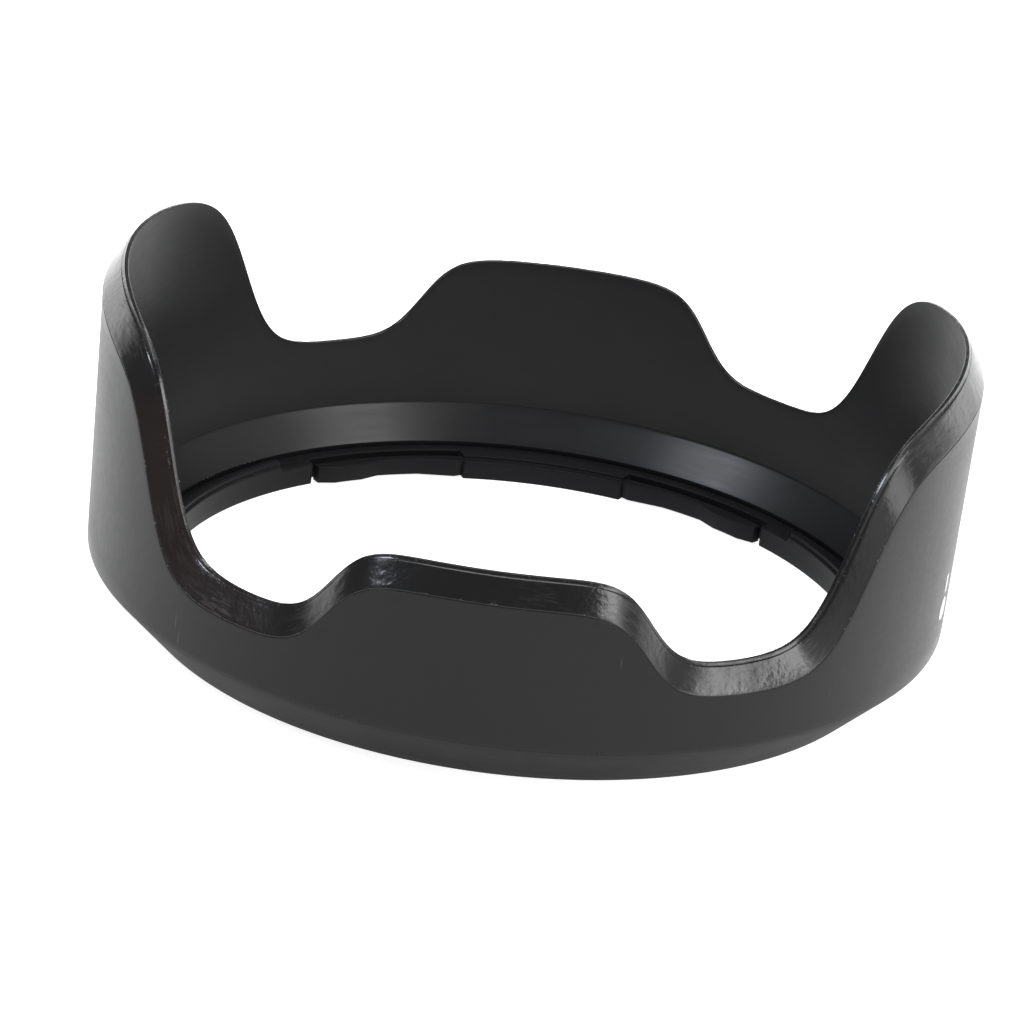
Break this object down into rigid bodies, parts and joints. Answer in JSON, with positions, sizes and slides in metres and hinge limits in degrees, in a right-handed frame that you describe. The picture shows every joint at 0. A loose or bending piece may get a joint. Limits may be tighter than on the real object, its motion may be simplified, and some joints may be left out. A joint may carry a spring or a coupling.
{
  "type": "lens hood",
  "caption": "Petal lens hood: flared black barrel with tall and short petals, a bevelled rim, and an inner bayonet ring with lugs, rails and sprung click fingers.",
  "frame": {"origin": "centre of the hood's base, on the plane it rests on", "axes": "+Z along the optical axis towards the subject, the tall petals on +X and -X, the short petals on +Y and -Y"},
  "size_m": [0.073, 0.0726, 0.0287],
  "materials": {
    "hood_plastic": "fine spark-textured black moulding, smoother and slightly glossy on the bevelled rim",
    "ring_plastic": "plain black moulding, satin where it slides on the lens",
    "white_ink": "matte white pad print"
  },
  "bodies": {
    "hood": {"hood_shell": "hood_plastic", "bayonet_ring": "ring_plastic", "index_mark": "white_ink"},
    "click_finger_far_right": {"click_finger_far_right": "ring_plastic"},
    "click_finger_far_left": {"click_finger_far_left": "ring_plastic"},
    "click_finger_near_left": {"click_finger_near_left": "ring_plastic"},
    "click_finger_near_right": {"click_finger_near_right": "ring_plastic"}
  },
  "joints": [
    {"name": "click_far_right_flex", "type": "hinge", "parent": "hood", "child": "click_finger_far_right", "pos_m": [0.00739, 0.02856, 0.0009], "axis": [0, 0, 1], "range_deg": [0, 2], "stiffness_Nm_per_rad": 0.05},
    {"name": "click_far_left_flex", "type": "hinge", "parent": "hood", "child": "click_finger_far_left", "pos_m": [-0.00739, 0.02856, 0.0009], "axis": [0, 0, -1], "range_deg": [0, 2], "stiffness_Nm_per_rad": 0.05},
    {"name": "click_near_left_flex", "type": "hinge", "parent": "hood", "child": "click_finger_near_left", "pos_m": [-0.00739, -0.02856, 0.0009], "axis": [0, 0, 1], "range_deg": [0, 2], "stiffness_Nm_per_rad": 0.05},
    {"name": "click_near_right_flex", "type": "hinge", "parent": "hood", "child": "click_finger_near_right", "pos_m": [0.00739, -0.02856, 0.0009], "axis": [0, 0, -1], "range_deg": [0, 2], "stiffness_Nm_per_rad": 0.05}
  ]
}
